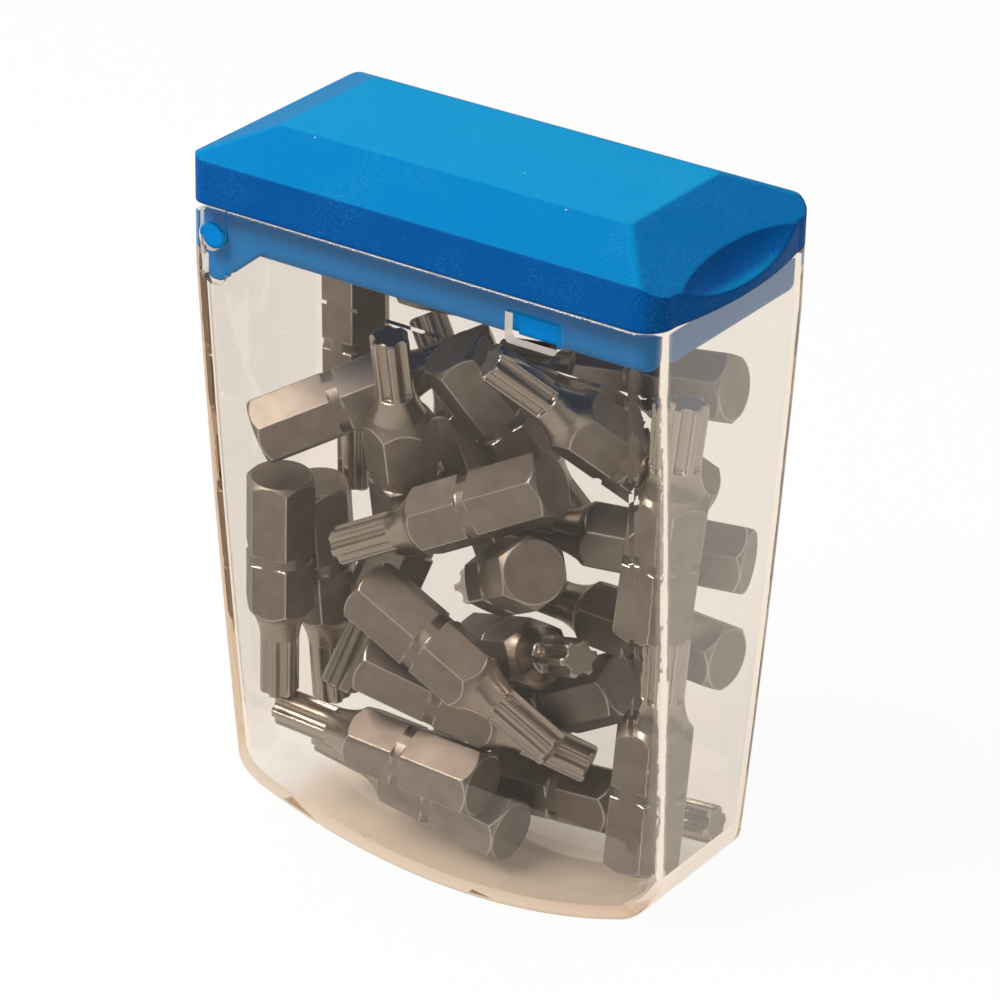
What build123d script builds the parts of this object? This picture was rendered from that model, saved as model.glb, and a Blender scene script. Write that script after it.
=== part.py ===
from build123d import *
import os
from math import sqrt

os.makedirs("parts", exist_ok=True)

# Flip-top tub of insert bits.  Millimetres, +Z up, X along the broad face with
# the hinge on the left, -Y is the front.  Origin: lowest line of the curved
# bottom, in the middle of the tub.

# ---- overall envelope -------------------------------------------------------
tub_length = 53.2
tub_depth = 27.8
rim_z = 69.3
straight_band = 6.4          # vertical part of the walls under the rim, they lean in below it
end_inset = 1.5              # each end, at the level of the bottom
face_inset = 5.15            # each broad face, at the level of the bottom
wall = 1.3
floor_thick = 1.5
bottom_radius = 62.0         # convex bottom, curved along X only
bottom_corner = 6.0
bottom_round = 0.7
foot_margin = 0.2            # the rounded edges of the foot lie this far below its corner
form_z = 16.0                # the rounded foot of the ends reaches up to here
form_clear = 0.08            # the form of the foot stands this far outside the end walls
corner_left = 1.9
corner_ease = 0.9            # the inside corner at the hinge end is this much smaller
corner_right = 2.8
rim_round = 0.3

half_l = tub_length / 2
half_d = tub_depth / 2
band_z = rim_z - straight_band

# ---- hinge ------------------------------------------------------------------
hinge_from_end = 2.7
hinge_below_rim = 3.1
pin_radius = 1.36
pin_fit = 0.07               # radial running clearance
pin_recess = 0.5             # pin end sits this far inside the outer face
hole_radius = pin_radius + pin_fit
hinge_x = -half_l + hinge_from_end
hinge_z = rim_z - hinge_below_rim
barrel_radius = 2.6
end_wall_drop = 2.45         # end wall top below the hinge axis, clear of the barrel
corner_arc = 3.04            # wall corner rounded about the hinge axis
guide_depth = 0.45           # assembly groove inside the wall over the pin hole
guide_bottom = 6.8           # centre of the groove's round end, below the rim

# ---- catch window -----------------------------------------------------------
window_x0 = 36.8             # from the hinge end
window_x1 = 42.6
window_top = 1.55            # below the rim
window_bottom = 4.65
window_round = 0.6

# ---- lid --------------------------------------------------------------------
lid_gap = 0.1                # cap to rim
band_height = 4.5
lid_height = 7.4
bevel_face = 6.1             # plan width of the front and back slopes
bevel_left = 6.4
bevel_right = 7.05
left_base = 4.7
right_edge = 51.5            # foot of the right slope, from the hinge end
right_base = 4.3
lid_skin = 1.35
lip_bulge = 1.2
lip_half = 10.6              # half width of the lip in Y
scoop_radius = 3.75
scoop_x = 2.3                # scoop axis outside the tub end
scoop_z = 4.8
scoop_half = 18.2            # half length of the barrel cut, to its points
hip_round = 1.7
hip_span = 4.0               # only the sloping hips run further than this in both X and Y
crest_round = 0.8
roof_run = 3.0               # the slopes run on this far outside the cap
plug_gap = 0.25              # skirt to the inside of the tub walls
plug_thick = 1.2
plug_depth = 4.6
plug_corner = 1.3
lobe_depth = 7.9             # hinge lobe below the rim
lobe_reach = 7.2             # where the lobe meets the skirt's lower edge
plug_root = 1.0              # the skirt is sunk this far into the cap
plug_from_end = 1.6          # hinge end of the skirt
room_from_end = 5.6          # web over the hinge, then the hollow starts
room_corner = 0.8
lobe_flat = 1.6
lobe_round_left = 0.7
lobe_round_right = 1.2
skirt_foot = 1.1
under_round = 0.8
bump_out = 0.2
bump_x0 = 37.5
bump_x1 = 42.0
bump_top = 1.8
bump_bottom = 4.2

cap_z = rim_z + lid_gap
top_z = rim_z + lid_height
plug_y = half_d - wall - plug_gap
plug_x = half_l - wall - plug_gap
plug_x0 = -half_l + plug_from_end

# ---- insert bits ------------------------------------------------------------
bit_length = 25.0
hex_flats = 6.35
hex_length = 15.6
hex_chamfer = 0.6
neck_radius = 2.75
neck_end = 18.8
neck_lean = -0.45            # slope of the cone where the neck starts
star_radius = 1.97
flute_radius = 0.72
flute_centre = 2.12
flute_start = 18.2
tip_chamfer = 0.25
notch_at = 8.6               # corner notches, from the hex end
notch_width = 1.1
notch_depth = 0.45
hex_corner = hex_flats / sqrt(3)


def tub_section(z, inset_x, inset_y, r_left, r_right):
    """Rounded rectangle of the tub at one height."""
    with BuildSketch(Plane.XY.offset(z)) as section:
        Rectangle(tub_length - 2 * inset_x, tub_depth - 2 * inset_y)
        fillet(section.vertices().group_by(Axis.X)[0], r_left)
        fillet(section.vertices().group_by(Axis.X)[-1], r_right)
    return section.sketch


def end_curve(part_way):
    """The narrow ends lean in on a slow curve, the broad faces in a plane."""
    return end_inset * part_way**2


# ============================ TUB ============================================
inner_left = corner_left - corner_ease
inner_right = corner_right - wall
taper_steps = (0.0, 0.34, 0.67, 1.0)
form_side = half_l - end_curve((band_z - form_z) / band_z) + form_clear
form_foot = half_l - end_curve((band_z - bottom_corner) / band_z) + form_clear
foot_z = bottom_radius - sqrt(bottom_radius**2 - form_foot**2)
foot_level = foot_z - foot_margin
in_side = form_side - wall
in_foot = form_foot - wall
in_radius = bottom_radius - floor_thick
in_foot_z = bottom_radius - sqrt(in_radius**2 - in_foot**2)

with BuildPart() as foot_form:
    with BuildSketch(Plane.XZ) as foot_sketch:
        with BuildLine():
            Polyline(
                (-form_foot, foot_z),
                (-form_side, form_z),
                (form_side, form_z),
                (form_foot, foot_z),
            )
            ThreePointArc((form_foot, foot_z), (0, 0), (-form_foot, foot_z))
        make_face()
        fillet(foot_sketch.vertices().group_by(Axis.Y)[0], bottom_corner)
        with Locations((0, form_z)):
            Rectangle(2 * tub_length, rim_z, align=(Align.CENTER, Align.MIN))
    extrude(amount=tub_depth, both=True)

with BuildPart() as floor_form:
    with BuildSketch(Plane.XZ) as floor_sketch:
        with BuildLine():
            Polyline(
                (-in_foot, in_foot_z),
                (-in_side, form_z),
                (in_side, form_z),
                (in_foot, in_foot_z),
            )
            ThreePointArc((in_foot, in_foot_z), (0, floor_thick), (-in_foot, in_foot_z))
        make_face()
        fillet(floor_sketch.vertices().group_by(Axis.Y)[0], bottom_corner - wall)
        with Locations((0, form_z)):
            Rectangle(2 * tub_length, rim_z, align=(Align.CENTER, Align.MIN))
    extrude(amount=tub_depth, both=True)

with BuildPart() as hollow:
    for part_way in taper_steps:
        add(
            tub_section(
                band_z * (1 - part_way),
                wall + end_curve(part_way),
                wall + face_inset * part_way,
                inner_left,
                inner_right,
            )
        )
    loft()
    add(floor_form.part, mode=Mode.INTERSECT)
    add(tub_section(band_z, wall, wall, inner_left, inner_right))
    extrude(amount=2 * straight_band)

with BuildPart() as tub:
    for part_way in taper_steps:
        add(
            tub_section(
                band_z * (1 - part_way),
                end_curve(part_way),
                face_inset * part_way,
                corner_left,
                corner_right,
            )
        )
    loft()
    add(foot_form.part, mode=Mode.INTERSECT)
    foot_curves = tub.edges().filter_by(lambda e: e.geom_type != GeomType.LINE)
    fillet(foot_curves.filter_by(lambda e: e.center().Z < foot_level), bottom_round)
    add(tub_section(band_z, 0, 0, corner_left, corner_right))
    extrude(amount=straight_band)
    fillet(tub.faces().sort_by(Axis.Z)[-1].edges(), rim_round)
    add(hollow.part, mode=Mode.SUBTRACT)
    # end wall cut down behind the hinge barrel
    with Locations((-half_l - wall, 0, hinge_z - end_wall_drop)):
        Box(
            2 * wall,
            tub_depth - 2 * wall,
            rim_z,
            align=(Align.MIN, Align.CENTER, Align.MIN),
            mode=Mode.SUBTRACT,
        )
    # wall corners rounded about the hinge axis
    with BuildSketch(Plane.XZ) as corner_sketch:
        with Locations((hinge_x, hinge_z)):
            Rectangle(2 * hinge_from_end, 2 * hinge_below_rim, align=(Align.MAX, Align.MIN))
            Circle(corner_arc, mode=Mode.SUBTRACT)
    extrude(amount=tub_depth, both=True, mode=Mode.SUBTRACT)
    # pin holes right through both broad walls
    with BuildSketch(Plane.XZ) as hole_sketch:
        with Locations((hinge_x, hinge_z)):
            Circle(hole_radius)
    extrude(amount=tub_depth, both=True, mode=Mode.SUBTRACT)
    # shallow grooves that lead the pins in, on the inside of the walls
    with BuildSketch(Plane.XZ) as guide_sketch:
        with Locations((hinge_x, rim_z - guide_bottom)):
            Circle(hole_radius)
            Rectangle(2 * hole_radius, 2 * guide_bottom, align=(Align.CENTER, Align.MIN))
    extrude(amount=half_d - wall + guide_depth, both=True, mode=Mode.SUBTRACT)
    # catch windows
    with BuildSketch(Plane.XZ) as window_sketch:
        with Locations((-half_l + (window_x0 + window_x1) / 2, rim_z - window_top)):
            Rectangle(
                window_x1 - window_x0,
                window_bottom - window_top,
                align=(Align.CENTER, Align.MAX),
            )
        fillet(window_sketch.vertices().group_by(Axis.Y)[0], window_round)
    extrude(amount=tub_depth, both=True, mode=Mode.SUBTRACT)
tub.part.label = "tub"
export_step(tub.part, "parts/tub.step")

# ============================ LID ============================================
def runs_both_ways(edge):
    """True for the four sloping hip edges of the roof."""
    span = edge.bounding_box().size
    return min(span.X, span.Y) > hip_span


room_x0 = -half_l + room_from_end
room_x1 = plug_x - plug_thick
room_y = plug_y - plug_thick
face_slope = (lid_height - band_height) / bevel_face
left_slope = (lid_height - left_base) / bevel_left
right_slope = (lid_height - right_base) / (right_edge - tub_length + bevel_right)
roof_low = half_l - bevel_right + (top_z - cap_z) / right_slope

with BuildPart() as roof:
    with BuildSketch(Plane.YZ) as gable_sketch:
        with BuildLine():
            Polyline(
                (-half_d - roof_run, cap_z),
                (-half_d - roof_run, top_z - face_slope * (bevel_face + roof_run)),
                (-half_d + bevel_face, top_z),
                (half_d - bevel_face, top_z),
                (half_d + roof_run, top_z - face_slope * (bevel_face + roof_run)),
                (half_d + roof_run, cap_z),
                close=True,
            )
        make_face()
    extrude(amount=2 * tub_length, both=True)
    with BuildSketch(Plane.XZ) as ridge_sketch:
        with BuildLine():
            Polyline(
                (-half_l - roof_run, cap_z),
                (-half_l - roof_run, top_z - left_slope * (bevel_left + roof_run)),
                (-half_l + bevel_left, top_z),
                (half_l - bevel_right, top_z),
                (half_l + roof_run, top_z - right_slope * (bevel_right + roof_run)),
                (half_l + roof_run, cap_z),
                close=True,
            )
        make_face()
    extrude(amount=tub_depth, both=True, mode=Mode.INTERSECT)
    hips = roof.edges().filter_by(runs_both_ways)
    fillet(hips, hip_round)
    fillet(roof.faces().sort_by(Axis.Z)[-1].edges(), crest_round)

with BuildPart() as room:
    with BuildSketch(Plane.XY.offset(cap_z)) as room_sketch:
        with Locations(((room_x0 + room_x1) / 2, 0)):
            RectangleRounded(room_x1 - room_x0, 2 * room_y, room_corner)
    extrude(amount=lid_height)
    add(roof.part.moved(Location((0, 0, -lid_skin))), mode=Mode.INTERSECT)
    extrude(room_sketch.sketch, amount=-2 * lobe_depth)
    # between the hinge lobes, under the barrel
    with BuildSketch(Plane.XY.offset(hinge_z)) as gap_sketch:
        with Locations((plug_x0 - wall, 0)):
            Rectangle(room_x0 - plug_x0 + 2 * wall, 2 * room_y, align=(Align.MIN, Align.CENTER))
    extrude(amount=-2 * lobe_depth)

with BuildPart() as lid:
    with BuildSketch(Plane.XY.offset(cap_z)) as cap_sketch:
        Rectangle(tub_length, tub_depth)
        fillet(cap_sketch.vertices().group_by(Axis.X)[0], corner_left)
        fillet(cap_sketch.vertices().group_by(Axis.X)[-1], corner_right)
        with BuildLine():
            ThreePointArc((half_l, -lip_half), (half_l + lip_bulge, 0), (half_l, lip_half))
            Line((half_l, lip_half), (half_l, -lip_half))
        make_face()
    extrude(amount=lid_height)
    add(roof.part, mode=Mode.INTERSECT)
    # finger scoop above the thumb lip: a barrel-shaped cut, deepest in the middle
    with BuildSketch(Plane.XY.offset(rim_z + scoop_z)) as scoop_sketch:
        with BuildLine():
            scoop_mid = half_l + scoop_x
            ThreePointArc((scoop_mid, -scoop_half), (scoop_mid - scoop_radius, 0), (scoop_mid, scoop_half))
            Line((scoop_mid, scoop_half), (scoop_mid, -scoop_half))
        make_face()
    revolve(
        axis=Axis((scoop_mid, 0, rim_z + scoop_z), (0, 1, 0)),
        mode=Mode.SUBTRACT,
    )
    # the cap's lower edge over the hinge is eased so that it swings past the tub
    with BuildSketch(Plane.XZ) as under_sketch:
        with Locations((-half_l + under_round, cap_z + under_round)):
            Rectangle(2 * under_round, 2 * under_round, align=Align.MAX)
            Circle(under_round, mode=Mode.SUBTRACT)
    extrude(amount=tub_depth, both=True, mode=Mode.SUBTRACT)
    # skirt block with the hinge lobes below it, then the room inside
    with BuildSketch(Plane.XZ) as skirt_sketch:
        with BuildLine():
            Polyline(
                (plug_x0, cap_z + plug_root),
                (plug_x0, rim_z - lobe_depth),
                (plug_x0 + lobe_flat, rim_z - lobe_depth),
                (-half_l + lobe_reach, rim_z - plug_depth),
                (plug_x, rim_z - plug_depth),
                (plug_x, cap_z + plug_root),
                close=True,
            )
        make_face()
        fillet(skirt_sketch.vertices().group_by(Axis.Y)[0].sort_by(Axis.X)[0], lobe_round_left)
        fillet(skirt_sketch.vertices().group_by(Axis.Y)[0].sort_by(Axis.X)[-1], lobe_round_right)
        fillet(skirt_sketch.vertices().sort_by(Axis.X)[-2:].sort_by(Axis.Y)[0], skirt_foot)
    extrude(amount=plug_y, both=True)
    skirt_posts = lid.edges().filter_by(Axis.Z).filter_by(lambda e: e.center().Z < rim_z)
    fillet(skirt_posts.filter_by(lambda e: e.center().X > plug_x - 0.1), plug_corner)
    # catch bumps behind the windows
    with BuildSketch(Plane.XZ) as bump_sketch:
        with Locations((-half_l + (bump_x0 + bump_x1) / 2, rim_z - bump_top)):
            Rectangle(bump_x1 - bump_x0, bump_bottom - bump_top, align=(Align.CENTER, Align.MAX))
    extrude(amount=plug_y + bump_out, both=True)
    add(room.part, mode=Mode.SUBTRACT)
    # barrel and pins on the hinge axis
    with BuildSketch(Plane.XZ) as barrel_sketch:
        with Locations((hinge_x, hinge_z)):
            Circle(barrel_radius)
    extrude(amount=plug_y, both=True)
    with BuildSketch(Plane.XZ) as pin_sketch:
        with Locations((hinge_x, hinge_z)):
            Circle(pin_radius)
    extrude(amount=half_d - pin_recess, both=True)
lid.part.label = "lid"
export_step(lid.part, "parts/lid.step")

# ============================ INSERT BIT =====================================
with BuildPart() as bit:
    with BuildSketch() as hex_sketch:
        RegularPolygon(hex_corner, 6)
    extrude(amount=hex_length)
    # both ends of the hexagon are turned to a cone
    with BuildSketch(Plane.XZ) as turned_sketch:
        with BuildLine():
            Polyline(
                (0, 0),
                (hex_corner - hex_chamfer, 0),
                (hex_corner, hex_chamfer),
                (hex_corner, hex_length - 2 * hex_chamfer),
                (neck_radius, hex_length),
                (0, hex_length),
                close=True,
            )
        make_face()
    revolve(axis=Axis.Z, mode=Mode.INTERSECT)
    # corner notches round the middle of the hexagon
    with BuildSketch(Plane.XZ) as notch_sketch:
        with Locations((hex_corner - notch_depth, notch_at)):
            Rectangle(hex_corner, notch_width, align=(Align.MIN, Align.CENTER))
    revolve(axis=Axis.Z, mode=Mode.SUBTRACT)
    # turned neck and tip
    with BuildSketch(Plane.XZ) as neck_sketch:
        with BuildLine():
            Polyline((0, hex_length), (neck_radius, hex_length))
            Spline(
                (neck_radius, hex_length),
                (star_radius, neck_end),
                tangents=((neck_lean, 1), (0, 1)),
            )
            Polyline(
                (star_radius, neck_end),
                (star_radius, bit_length - tip_chamfer),
                (star_radius - tip_chamfer, bit_length),
                (0, bit_length),
                (0, hex_length),
            )
        make_face()
    revolve(axis=Axis.Z)
    # six flutes make the star; they run out into the neck
    with BuildSketch(Plane.XY.offset(flute_start)) as flute_sketch:
        with PolarLocations(flute_centre, 6):
            Circle(flute_radius)
    extrude(amount=bit_length, mode=Mode.SUBTRACT)

# ============================ LOOSE BITS =====================================
# Each bit as it lies in the tub: middle point, then the heading of its star tip
# (degrees from +X towards +Y) and how far the tip points up.
bit_places = (
    # against the front wall, top to bottom
    (-14.1, 0.4, 48.0, 40, 22),
    (-8.5, -3.2, 45.5, -79, 76),
    (12.5, -1.7, 51.7, -136, 39),
    (-1.2, -6.1, 40.4, -168, -27),
    (-21.1, -6.0, 26.7, 135, -87),
    (0.8, -6.1, 24.3, 2, -27),
    (0.2, -1.85, 17.3, 17, -18),
    (-9.2, -5.0, 11.75, 180, 2),
    (-7.5, -1.35, 6.4, 176, 5),
    # in the middle of the heap
    (1.2, 3.7, 44.8, 40, -55),
    (2.2, -0.8, 32.3, 140, -30),
    (4.4, 0.6, 24.2, -30, 24),
    (-13.5, 2.1, 26.6, -112, -62),
    (-20.9, 1.2, 23.0, 60, -86),
    (20.2, -1.7, 19.6, 60, 86),
    (21.4, -2.7, 45.6, 0, 84),
    (-7.5, 7.2, 42.3, 166, 57),
    (2.0, 5.3, 15.0, 180, -30),
    # against the back wall
    (-20.6, 6.0, 45.8, 0, -89),
    (-3.2, 8.2, 58.3, 0, 6),
    (8.5, 7.6, 53.1, 184, -7),
    (12.2, 3.5, 38.1, 197, 2),
    (10.9, 6.1, 27.6, 176, 0),
    (10.9, 4.65, 7.9, 0, 6),
)


def lying(x, y, z, heading, pitch):
    """Place a bit by its middle, its heading and the rise of its tip."""
    turned = Location((0, 0, 0), (0, 0, 1), heading)
    tilted = Location((0, 0, 0), (0, 1, 0), 90 - pitch)
    return Location((x, y, z)) * turned * tilted * Location((0, 0, -bit_length / 2))


for number, place in enumerate(bit_places, start=1):
    with BuildPart() as loose_bit:
        with Locations(lying(*place)):
            add(bit.part)
    loose_bit.part.label = f"bit_{number:02d}"
    export_step(loose_bit.part, f"parts/bit_{number:02d}.step")
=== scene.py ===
# %% [markdown]
# # A flip-top tub of insert bits
#
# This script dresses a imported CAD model: a clear, tapered tub, a blue hinged
# lid and a heap of loose steel insert bits. The CAD meshes stay as they are.
# What they need here is what CAD can't hold: clear plastic that bends light,
# moulded blue plastic, satin tool steel, a floor, a lamp and a camera.

# %% Load the frame
from math import cos, pi, radians, sin

import bpy
import numpy as np
from mathutils import Matrix, Vector


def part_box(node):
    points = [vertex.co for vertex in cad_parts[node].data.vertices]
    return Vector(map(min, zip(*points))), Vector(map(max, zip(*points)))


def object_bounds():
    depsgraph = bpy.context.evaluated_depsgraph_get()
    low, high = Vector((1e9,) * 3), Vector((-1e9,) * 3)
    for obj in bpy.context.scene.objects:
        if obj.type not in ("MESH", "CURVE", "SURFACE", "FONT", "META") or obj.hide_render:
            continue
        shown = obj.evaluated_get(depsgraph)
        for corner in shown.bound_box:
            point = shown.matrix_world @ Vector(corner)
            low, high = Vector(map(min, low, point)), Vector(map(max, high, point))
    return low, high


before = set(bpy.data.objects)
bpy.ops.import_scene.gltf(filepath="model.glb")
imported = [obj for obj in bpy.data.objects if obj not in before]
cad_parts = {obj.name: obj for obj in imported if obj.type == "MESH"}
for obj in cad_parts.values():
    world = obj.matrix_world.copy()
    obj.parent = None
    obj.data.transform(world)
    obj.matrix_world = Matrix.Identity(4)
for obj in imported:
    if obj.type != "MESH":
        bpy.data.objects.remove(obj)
cad_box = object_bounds()
MM = 0.001  # the scene is in metres
print("CAD box in mm:", [[round(v / MM, 2) for v in corner] for corner in cad_box])

# %% [markdown]
# A few helpers serve every material below. Colours are written as sRGB hex, the
# way a paint chart gives them, and Blender's sockets want linear light, so one
# function converts. Another adds a node, sets its sockets and links its inputs,
# and two more use it for sums and for mixes of colours.

# %% Helpers for colours and nodes


def linear(hex_colour):
    """Turn sRGB hex such as #0A7FCE into Blender's linear RGBA."""
    channels = [int(hex_colour[i : i + 2], 16) / 255 for i in (1, 3, 5)]
    return [c / 12.92 if c <= 0.04045 else ((c + 0.055) / 1.055) ** 2.4 for c in channels] + [1.0]


def add_node(tree, kind, links=None, settings=None, **sockets):
    """Add one node; sockets sets its inputs by name, links joins them to outputs."""
    node = tree.nodes.new(kind)
    for name, value in (settings or {}).items():
        setattr(node, name, value)
    for name, value in sockets.items():
        node.inputs[name.replace("_", " ")].default_value = value
    for name, output in (links or {}).items():
        tree.links.new(output, node.inputs[name])
    return node


def add_math(tree, operation, first, second):
    """A Math node; each operand is a number or another node's output."""
    node = add_node(tree, "ShaderNodeMath", settings={"operation": operation})
    for socket, operand in zip(node.inputs, (first, second)):
        if isinstance(operand, (int, float)):
            socket.default_value = operand
        else:
            tree.links.new(operand, socket)
    return node.outputs[0]


def mix_colours(tree, factor, first, second):
    """Go from first at factor 0 to second at 1; each is hex or a node's output."""
    node = add_node(
        tree, "ShaderNodeMix", settings={"data_type": "RGBA"}, links={"Factor": factor}
    )
    for name, colour in (("A", first), ("B", second)):
        if isinstance(colour, str):
            node.inputs[name].default_value = linear(colour)
        else:
            tree.links.new(colour, node.inputs[name])
    return node.outputs["Result"]


def new_material(name):
    """A material with an empty node tree and its output node."""
    material = bpy.data.materials.new(name)
    material.use_nodes = True
    material.node_tree.nodes.clear()
    output = material.node_tree.nodes.new("ShaderNodeOutputMaterial")
    return material, material.node_tree, output


def dress(node_name, material):
    """Give a CAD node's object one material in every slot."""
    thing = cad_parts[node_name]
    thing.data.materials.clear()
    thing.data.materials.append(material)


# %% [markdown]
# ## The camera
#
# A long lens from about 45 cm, above the tub and to its right, leaning a
# little over one degree. The aim point is inside the heap of bits, and the
# distance sets how much the verticals draw together.

# %% Camera
AIM = Vector((1.6, -1.3, 40.7)) * MM
VIEW_AZIMUTH = radians(34.0)
VIEW_ELEVATION = radians(26.66)
CAMERA_ROLL = radians(1.24)
CAMERA_DISTANCE = 450.1 * MM
LENS_MM = 166.8

backward = Vector(
    (
        sin(VIEW_AZIMUTH) * cos(VIEW_ELEVATION),
        -cos(VIEW_AZIMUTH) * cos(VIEW_ELEVATION),
        sin(VIEW_ELEVATION),
    )
)
rightward = Vector((0, 0, 1)).cross(backward).normalized()
upward = backward.cross(rightward)
camera_data = bpy.data.cameras.new("camera")
camera_data.lens = LENS_MM
camera_data.clip_start = 10 * MM
camera = bpy.data.objects.new("camera", camera_data)
upright = Matrix((rightward, upward, backward)).transposed()
camera.matrix_world = (
    Matrix.Translation(AIM + backward * CAMERA_DISTANCE)
    @ upright.to_4x4()
    @ Matrix.Rotation(CAMERA_ROLL, 4, "Z")
)
bpy.context.collection.objects.link(camera)
bpy.context.scene.camera = camera
bpy.context.scene.view_settings.view_transform = "Standard"
print("Camera at", [round(v / MM, 1) for v in camera.matrix_world.translation], "mm")

# %% [markdown]
# ## Floor, world and lamp
#
# Clear plastic shows its surroundings, so these matter as much as its own
# material. Looked at straight, or straight through the plastic, the room is
# white. Steel in a white room would have no light and dark in it, though, so
# whatever has bounced off something sees a plainer studio instead: pale
# overhead, dim near the floor.
#
# The plastic's own mirror reflections need one thing more. The broad wall in
# front would mirror white floor over everything behind it, as a veil. So the
# room has a grey side, a little way in front of the tub: mirror reflections
# that end there find the studio, and rays caught in the rims, which pipe light
# from all round, find it about a third white.
#
# The floor is white card with a little of its own shading left, enough to
# carry a faint shadow. Seen through the tub, it is lightened away from it.

# %% Which rays see the white room
GREY_SIDE_GAP = 10 * MM
GREY_SIDE_STARTS = cad_box[0][1] - GREY_SIDE_GAP
GREY_SIDE_IN_RIMS = 0.35  # how white the grey side still is for rays caught in the rims


def sees_white_room(tree, place):
    """1 for rays that see the room as white, 0 for rays that see the studio.

    White is for rays that have only passed through things. It is also for
    mirror reflections off the plastic and for rays caught inside it, which
    have been refracted an odd number of times. On the grey side in front the
    mirrored ones get 0 and the caught ones a part. The place is where the ray
    ends or, for the world, its direction.
    """
    path = add_node(tree, "ShaderNodeLightPath")
    depth = add_node(tree, "ShaderNodeSeparateXYZ", links={"Vector": place}).outputs["Y"]
    not_in_front = add_math(tree, "GREATER_THAN", depth, GREY_SIDE_STARTS)
    reflected = add_math(tree, "GREATER_THAN", path.outputs["Glossy Depth"], 0.5)
    mirror_ray = add_math(tree, "MULTIPLY", path.outputs["Is Singular Ray"], reflected)
    bounces = add_math(
        tree, "SUBTRACT", path.outputs["Ray Depth"], path.outputs["Transmission Depth"]
    )
    unbounced = add_math(tree, "LESS_THAN", bounces, 0.5)
    in_plastic = add_math(tree, "MODULO", path.outputs["Transmission Depth"], 2.0)
    mirrored = add_math(tree, "MULTIPLY", mirror_ray, not_in_front)
    share = add_node(
        tree, "ShaderNodeMapRange", links={"Value": not_in_front}, To_Min=GREY_SIDE_IN_RIMS
    )
    caught = add_math(tree, "MULTIPLY", in_plastic, share.outputs["Result"])
    return add_math(tree, "MAXIMUM", unbounced, add_math(tree, "MAXIMUM", mirrored, caught))


# %% Floor
FLOOR_SIZE = 3.0
FLOOR_GAP = 0.05 * MM  # below the tub, so that the two surfaces never share a place
SHADING_SEEN_DIRECTLY = 0.06  # how much of the card's own light and shadow shows
SHADING_THROUGH_PLASTIC = 0.25  # the same, seen through the tub and clear of its shadow
SHADING_IN_RIMS = 0.2  # and mirrored in the plastic's rims
SHADOW_INSET = 4 * MM  # the lightening starts this far inside the CAD box
SHADOW_REACH = 8 * MM  # and is whole this far outside it
floor_mesh = bpy.data.meshes.new("floor")
half_floor = FLOOR_SIZE / 2
corner_signs = [(-1, -1), (1, -1), (1, 1), (-1, 1)]
floor_corners = [(x * half_floor, y * half_floor, 0) for x, y in corner_signs]
floor_mesh.from_pydata(floor_corners, [], [(0, 1, 2, 3)])
floor = bpy.data.objects.new("floor", floor_mesh)
floor.location.z = cad_box[0][2] - FLOOR_GAP
bpy.context.collection.objects.link(floor)

white_card, tree, output = new_material("white_card")
spot = add_node(tree, "ShaderNodeNewGeometry").outputs["Position"]
room = sees_white_room(tree, spot)
path = add_node(tree, "ShaderNodeLightPath")
spot_parts = add_node(tree, "ShaderNodeSeparateXYZ", links={"Vector": spot})
grey_side = add_math(tree, "LESS_THAN", spot_parts.outputs["Y"], GREY_SIDE_STARTS)
studio_card = mix_colours(tree, grey_side, "#D2D2D2", "#C6C6C6")
bounced_colour = mix_colours(tree, path.outputs["Is Singular Ray"], studio_card, "#3C3C3C")
card_colour = mix_colours(tree, room, bounced_colour, "#FFFDFB")
card = add_node(tree, "ShaderNodeBsdfDiffuse", links={"Color": card_colour})
glow_colour = mix_colours(tree, path.outputs["Is Camera Ray"], "#FAF2E7", "#FFFFFF")
glow = add_node(tree, "ShaderNodeEmission", links={"Color": glow_colour}, Strength=1.0)
seen_directly = add_math(
    tree, "MULTIPLY", path.outputs["Is Camera Ray"], 1.0 - SHADING_SEEN_DIRECTLY
)
outside = []  # for each direction, 0 under the tub and 1 a little way out from it
for direction, reach in (("X", cad_box[1][0]), ("Y", cad_box[1][1])):
    outside.append(
        add_node(
            tree,
            "ShaderNodeMapRange",
            links={"Value": add_math(tree, "ABSOLUTE", spot_parts.outputs[direction], 0.0)},
            From_Min=reach - SHADOW_INSET,
            From_Max=reach + SHADOW_REACH,
        ).outputs["Result"]
    )
clear_of_tub = add_math(tree, "MAXIMUM", outside[0], outside[1])
open_floor = add_math(tree, "MULTIPLY", path.outputs["Is Transmission Ray"], clear_of_tub)
seen_through = add_math(tree, "MULTIPLY", open_floor, 1.0 - SHADING_THROUGH_PLASTIC)
reflected = add_math(tree, "GREATER_THAN", path.outputs["Glossy Depth"], 0.5)
in_the_rims = add_math(tree, "MULTIPLY", room, reflected)
seen_in_rims = add_math(tree, "MULTIPLY", in_the_rims, 1.0 - SHADING_IN_RIMS)
through_or_in = add_math(tree, "MAXIMUM", seen_through, seen_in_rims)
whiteness = add_math(tree, "MAXIMUM", seen_directly, through_or_in)
surface = add_node(
    tree,
    "ShaderNodeMixShader",
    links={"Fac": whiteness, 1: card.outputs["BSDF"], 2: glow.outputs["Emission"]},
)
tree.links.new(surface.outputs["Shader"], output.inputs["Surface"])
white_card.cycles.emission_sampling = "NONE"
floor_mesh.materials.append(white_card)

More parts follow.
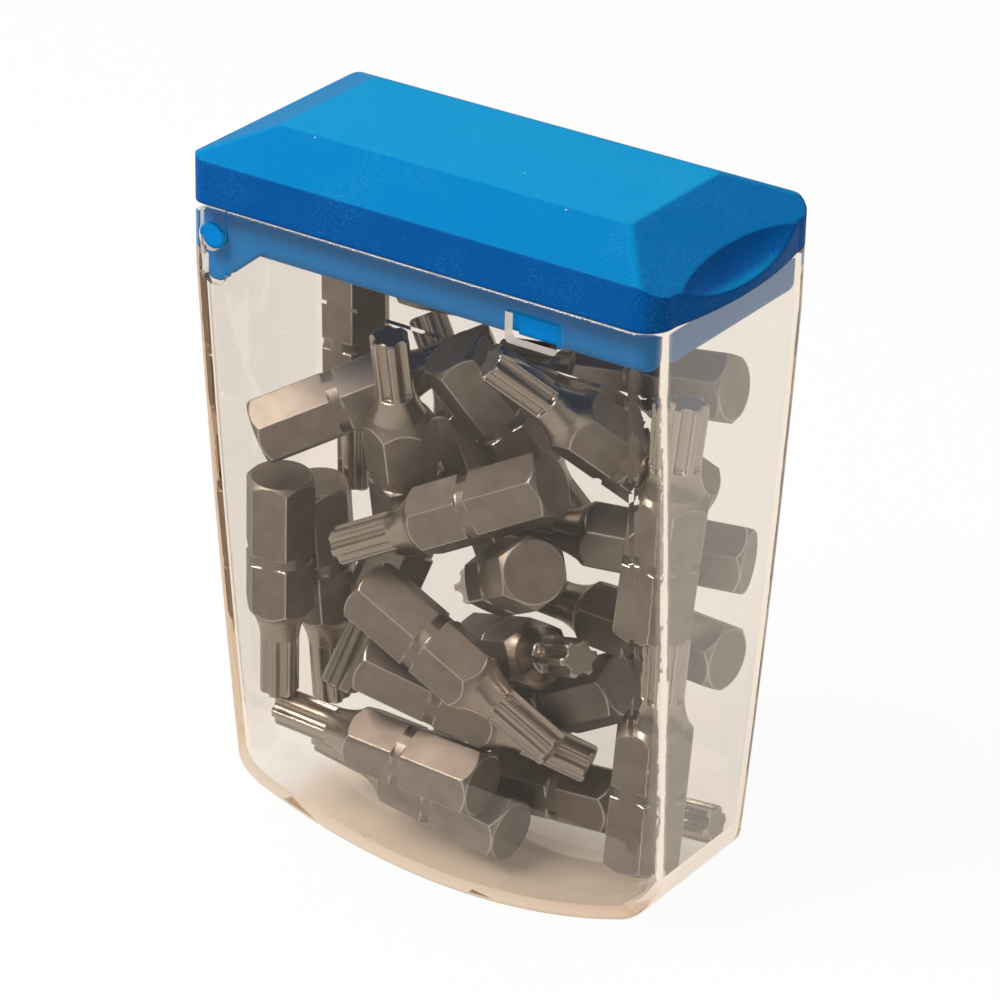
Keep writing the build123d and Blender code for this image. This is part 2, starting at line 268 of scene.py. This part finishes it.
# %% World
OVERHEAD_LIGHT = 0.55
LOW_LIGHT = 0.16
world = bpy.data.worlds.new("white_room")
world.use_nodes = True
tree = world.node_tree
tree.nodes.clear()
ray = add_node(tree, "ShaderNodeTexCoord")
height = add_node(tree, "ShaderNodeSeparateXYZ", links={"Vector": ray.outputs["Generated"]})
studio = add_node(
    tree,
    "ShaderNodeMapRange",
    links={"Value": height.outputs["Z"]},
    settings={"interpolation_type": "SMOOTHSTEP"},
    From_Min=-0.1,
    From_Max=0.8,
    To_Min=LOW_LIGHT,
    To_Max=OVERHEAD_LIGHT,
)
strength = add_node(
    tree,
    "ShaderNodeMix",
    links={
        "Factor": sees_white_room(tree, ray.outputs["Generated"]),
        "A": studio.outputs["Result"],
    },
    settings={"data_type": "FLOAT"},
    B=1.0,
)
sky = add_node(
    tree,
    "ShaderNodeBackground",
    links={"Strength": strength.outputs["Result"]},
    Color=linear("#FFFFFF"),
)
world_output = tree.nodes.new("ShaderNodeOutputWorld")
tree.links.new(sky.outputs["Background"], world_output.inputs["Surface"])
bpy.context.scene.world = world

# %% Lamp
TUB_CENTRE = (Vector(cad_box[0]) + Vector(cad_box[1])) / 2


def soft_lamp(name, direction, distance, width, watts):
    """A square area lamp that faces the tub from the given direction."""
    lamp_data = bpy.data.lights.new(name, "AREA")
    lamp_data.shape = "SQUARE"
    lamp_data.size = width
    lamp_data.energy = watts
    lamp = bpy.data.objects.new(name, lamp_data)
    towards = Vector(direction).normalized()
    lamp.location = TUB_CENTRE + towards * distance
    lamp.rotation_euler = towards.to_track_quat("Z", "Y").to_euler()
    bpy.context.collection.objects.link(lamp)


soft_lamp("key_lamp", direction=(-0.34, -0.5, 0.8), distance=0.6, width=0.24, watts=2.6)

# %% [markdown]
# ## The lid: moulded polypropylene
#
# Injection-moulded polypropylene, coloured through. It comes out of a fine
# spark-eroded mould, so it is semi-gloss with a shallow orange-peel waviness,
# lumps of under a millimetre, and a finer grain on top of it. No moulded edge
# is sharp: a Bevel node rounds the shading of each by half a millimetre or so.
# Pale flecks, in patches and only on the tops of the grain, are a painted
# highlight for the grain's mottled sheen. Faces turned up are painted lighter
# and the skirt inside the tub brighter, as painted light, and there are a few
# specks of dust.

# %% Blue polypropylene
PEEL_MM = 0.7
GRAIN_MM = 0.22
SHEEN_PATCH_MM = 7.0
MOULD_ROUND_MM = 0.6
DUST_CELL_MM = 2.6  # a cell holds one speck at most
DUST_RADIUS_MM = 0.1
EMPTY_CELLS = 0.6  # share of the cells that stay without a speck


def lumps_per_metre(size_mm):
    """Noise scale that gives lumps of about this size in object space."""
    return 1 / (size_mm * MM)


def speck_mask(tree, place, cell_mm, radius_mm):
    """1 on sparse round specks of at most the given radius, 0 elsewhere."""
    cells = add_node(
        tree,
        "ShaderNodeTexVoronoi",
        links={"Vector": place},
        Scale=lumps_per_metre(cell_mm),
    )
    drawn = add_node(tree, "ShaderNodeSeparateColor", links={"Color": cells.outputs["Color"]})
    size = add_math(tree, "MULTIPLY", drawn.outputs["Red"], radius_mm / cell_mm)
    near = add_math(tree, "LESS_THAN", cells.outputs["Distance"], size)
    chosen = add_math(tree, "GREATER_THAN", drawn.outputs["Green"], EMPTY_CELLS)
    return add_math(tree, "MULTIPLY", near, chosen)


blue_polypropylene, tree, output = new_material("blue_polypropylene")
place = add_node(tree, "ShaderNodeTexCoord").outputs["Object"]
peel = add_node(
    tree,
    "ShaderNodeTexNoise",
    links={"Vector": place},
    Scale=lumps_per_metre(PEEL_MM),
    Detail=2.0,
)
grain = add_node(
    tree,
    "ShaderNodeTexNoise",
    links={"Vector": place},
    Scale=lumps_per_metre(GRAIN_MM),
    Detail=1.0,
)
moulded_edge = add_node(
    tree,
    "ShaderNodeBevel",
    settings={"samples": 4},
    Radius=MOULD_ROUND_MM * MM,
)
peel_bump = add_node(
    tree,
    "ShaderNodeBump",
    links={"Height": peel.outputs["Fac"], "Normal": moulded_edge.outputs["Normal"]},
    Strength=0.7,
    Distance=0.09 * MM,
)
grain_bump = add_node(
    tree,
    "ShaderNodeBump",
    links={"Height": grain.outputs["Fac"], "Normal": peel_bump.outputs["Normal"]},
    Strength=0.5,
    Distance=0.02 * MM,
)
# Painted light: faces turned up are painted greener and lighter, as a painted
# top light, and upright faces a deeper blue, as painted shade. The thin skirt
# inside the tub is painted a brighter blue, a painted glow standing in for the
# light that comes through it.
facing = add_node(
    tree,
    "ShaderNodeSeparateXYZ",
    links={"Vector": add_node(tree, "ShaderNodeNewGeometry").outputs["Normal"]},
)
painted_top_light = add_node(
    tree,
    "ShaderNodeMapRange",
    links={"Value": facing.outputs["Z"]},
    From_Min=0.8,
    From_Max=0.99,
)
lit_and_shaded_blue = mix_colours(tree, painted_top_light.outputs["Result"], "#005CA8", "#0093CC")
height = add_node(tree, "ShaderNodeSeparateXYZ", links={"Vector": place}).outputs["Z"]
# Painted glow: below the tub's rim the skirt is painted a brighter blue, standing in for light
# that comes through the plastic.
skirt_glow_mask = add_math(tree, "LESS_THAN", height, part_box("tub")[1][2])
blue_with_painted_light = mix_colours(tree, skirt_glow_mask, lit_and_shaded_blue, "#008CE4")
# Painted highlight: pale flecks on the grain tops, in patches, stand in for the grain's mottled
# sheen.
patches = add_node(
    tree,
    "ShaderNodeTexNoise",
    links={"Vector": place},
    Scale=lumps_per_metre(SHEEN_PATCH_MM),
    Detail=2.0,
)
sheen_patches = add_node(
    tree,
    "ShaderNodeMapRange",
    links={"Value": patches.outputs["Fac"]},
    From_Min=0.42,
    From_Max=0.62,
)
sheen_on_grain_tops = add_node(
    tree,
    "ShaderNodeMapRange",
    links={"Value": grain.outputs["Fac"]},
    From_Min=0.54,
    From_Max=0.7,
    To_Max=0.2,
)
painted_sheen_flecks = add_math(
    tree, "MULTIPLY", sheen_patches.outputs["Result"], sheen_on_grain_tops.outputs["Result"]
)
# The painted highlight flecks are mixed into the blue here.
blue_with_sheen_flecks = mix_colours(tree, painted_sheen_flecks, blue_with_painted_light, "#4CB4E4")
dust = speck_mask(tree, place, DUST_CELL_MM, DUST_RADIUS_MM)
dusty = mix_colours(tree, dust, blue_with_sheen_flecks, "#C8E2F0")
plastic = add_node(
    tree,
    "ShaderNodeBsdfPrincipled",
    links={"Base Color": dusty, "Normal": grain_bump.outputs["Normal"]},
    Roughness=0.36,
    IOR=1.49,
    Specular_IOR_Level=0.05,
)
tree.links.new(plastic.outputs["BSDF"], output.inputs["Surface"])
dress("lid", blue_polypropylene)

# %% [markdown]
# ## The tub: clear polystyrene
#
# Crystal polystyrene, moulded clear with a faint straw tint. Looked straight
# through it is almost colourless; edges and corners, where light runs a long
# way inside the plastic, go tan. A transmissive surface does the bending and
# the reflections, and a volume that absorbs a little blue does the tint, so
# thickness colours it by itself. Only camera rays, and rays already on their
# way through the plastic, are bent and mirrored. Shadow rays, and rays that
# have bounced off steel or the lid, pass straight through with a trace of
# tint, so that the lamp and the studio reach the bits inside.

# %% Clear polystyrene
crystal_polystyrene, tree, output = new_material("crystal_polystyrene")
clear = add_node(
    tree,
    "ShaderNodeBsdfPrincipled",
    Base_Color=linear("#FFFFFF"),
    Roughness=0.0,
    IOR=1.55,
    Specular_IOR_Level=0.3,
    Transmission_Weight=1.0,
)
tint = add_node(
    tree,
    "ShaderNodeVolumeAbsorption",
    Color=linear("#D2A056"),
    Density=46.0,
)
path = add_node(tree, "ShaderNodeLightPath")
looking = add_math(
    tree, "MAXIMUM", path.outputs["Is Camera Ray"], path.outputs["Is Transmission Ray"]
)
straight = add_node(tree, "ShaderNodeBsdfTransparent", Color=linear("#FAF6F0"))
surface = add_node(
    tree,
    "ShaderNodeMixShader",
    links={"Fac": looking, 1: straight.outputs["BSDF"], 2: clear.outputs["BSDF"]},
)
tree.links.new(surface.outputs["Shader"], output.inputs["Surface"])
tree.links.new(tint.outputs["Volume"], output.inputs["Volume"])
dress("tub", crystal_polystyrene)

# %% [markdown]
# ## The bits: satin tool steel
#
# Insert bits are milled from hexagon bar and turned at the tip, hardened, and
# tumbled. The hexagon keeps a dull brown-grey oxide with pits and drawing
# lines along the bar. The turned neck and tip are smoother, with faint rings
# about 2 mm apart, and every edge is rubbed bright; the edge colour is also
# lightened well past that wear, as a painted highlight along the edges. To put
# this on bits that lie every way, each mesh first gets its own coordinates: z
# runs from the hexagon's end to the tip.

# %% Coordinates along each bit
HEX_LENGTH_MM = 15.6  # up to where the turned neck begins


def store_bit_space(mesh):
    """Write a vector attribute: x and y across the bit, z along it in metres."""
    points = np.empty(len(mesh.vertices) * 3)
    mesh.vertices.foreach_get("co", points)
    points = points.reshape(-1, 3)
    centred = points - points.mean(axis=0)
    _, directions = np.linalg.eigh(centred.T @ centred)
    local = centred @ directions[:, ::-1]  # longest direction first
    along = local[:, 0]
    across = np.hypot(local[:, 1], local[:, 2])
    # the hexagon is the wide end: turn z so that it starts there
    if across[along > 0].max() > across[along < 0].max():
        along = -along
    space = np.column_stack((local[:, 1], local[:, 2], along - along.min()))
    attribute = mesh.attributes.new("bit_space", "FLOAT_VECTOR", "POINT")
    attribute.data.foreach_set("vector", space.astype(np.float32).ravel())


bit_names = sorted(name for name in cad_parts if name.startswith("bit_"))
for bit_name in bit_names:
    store_bit_space(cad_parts[bit_name].data)

# %% Tool steel
PIT_MM = 0.3
BLOTCH_MM = 2.2
LINE_WIDTH_MM = 0.12
LINE_LENGTH_MM = 6.0
RING_SPACING_MM = 1.885
EDGE_MM = 0.28
TURNED_FROM_MM = HEX_LENGTH_MM - 0.9  # the oxide fades out from here
TURNED_WHOLE_MM = HEX_LENGTH_MM + 0.3
WAVE_PERIOD = pi / 10  # a Wave texture of scale 1 has a crest this often, in metres

tool_steel, tree, output = new_material("tumbled_tool_steel")
space = add_node(
    tree, "ShaderNodeAttribute", settings={"attribute_name": "bit_space"}
).outputs["Vector"]
along = add_node(tree, "ShaderNodeSeparateXYZ", links={"Vector": space}).outputs["Z"]
turned = add_node(
    tree,
    "ShaderNodeMapRange",
    links={"Value": along},
    From_Min=TURNED_FROM_MM * MM,
    From_Max=TURNED_WHOLE_MM * MM,
).outputs["Result"]
place = add_node(tree, "ShaderNodeTexCoord").outputs["Object"]
pits = add_node(
    tree,
    "ShaderNodeTexNoise",
    links={"Vector": place},
    Scale=lumps_per_metre(PIT_MM),
    Detail=3.0,
)
blotches = add_node(
    tree,
    "ShaderNodeTexNoise",
    links={"Vector": place},
    Scale=lumps_per_metre(BLOTCH_MM),
    Detail=3.0,
)
drawn_out = add_node(
    tree,
    "ShaderNodeMapping",
    links={"Vector": space},
    Scale=[lumps_per_metre(mm) for mm in (LINE_WIDTH_MM, LINE_WIDTH_MM, LINE_LENGTH_MM)],
)
drawing_lines = add_node(
    tree,
    "ShaderNodeTexNoise",
    links={"Vector": drawn_out.outputs["Vector"]},
    Scale=1.0,
    Detail=1.0,
)
rings = add_node(
    tree,
    "ShaderNodeTexWave",
    links={"Vector": space},
    settings={"bands_direction": "Z"},
    Scale=WAVE_PERIOD / (RING_SPACING_MM * MM),
    Distortion=1.0,
)
rounded = add_node(
    tree,
    "ShaderNodeBevel",
    settings={"samples": 4},
    Radius=EDGE_MM * MM,
)
true_normal = add_node(tree, "ShaderNodeNewGeometry").outputs["True Normal"]
agreement = add_node(
    tree,
    "ShaderNodeVectorMath",
    links={0: rounded.outputs["Normal"], 1: true_normal},
    settings={"operation": "DOT_PRODUCT"},
)
edge = add_node(
    tree,
    "ShaderNodeMapRange",
    links={"Value": agreement.outputs["Value"]},
    From_Min=0.998,
    From_Max=0.95,
).outputs["Result"]
oxide = mix_colours(tree, blotches.outputs["Fac"], "#8C827B", "#B6ACA4")
turned_colour = mix_colours(tree, turned, oxide, "#C4BAAF")
# Partly wear and partly painted highlight: the edges are rubbed through the oxide, and their
# colour is lightened further so that they read as bright highlight lines.
edge_wear_and_highlight = mix_colours(tree, edge, turned_colour, "#F4F0EC")
roughness = add_node(
    tree,
    "ShaderNodeMapRange",
    links={"Value": turned},
    To_Min=0.46,
    To_Max=0.24,
)
worn_roughness = add_node(
    tree,
    "ShaderNodeMix",
    links={"Factor": edge, "A": roughness.outputs["Result"]},
    settings={"data_type": "FLOAT"},
    B=0.22,
)
line_bump = add_node(
    tree,
    "ShaderNodeBump",
    links={"Height": drawing_lines.outputs["Fac"], "Normal": rounded.outputs["Normal"]},
    Strength=0.25,
    Distance=0.01 * MM,
)
ring_bump = add_node(
    tree,
    "ShaderNodeBump",
    links={
        "Height": add_math(tree, "MULTIPLY", rings.outputs["Fac"], turned),
        "Normal": line_bump.outputs["Normal"],
    },
    Strength=0.35,
    Distance=0.012 * MM,
)
pit_bump = add_node(
    tree,
    "ShaderNodeBump",
    links={"Height": pits.outputs["Fac"], "Normal": ring_bump.outputs["Normal"]},
    Strength=0.4,
    Distance=0.025 * MM,
)
steel = add_node(
    tree,
    "ShaderNodeBsdfPrincipled",
    links={
        "Base Color": edge_wear_and_highlight,
        "Roughness": worn_roughness.outputs["Result"],
        "Normal": pit_bump.outputs["Normal"],
    },
    Metallic=1.0,
)
tree.links.new(steel.outputs["BSDF"], output.inputs["Surface"])
for bit_name in bit_names:
    dress(bit_name, tool_steel)
print(len(bit_names), "bits dressed")
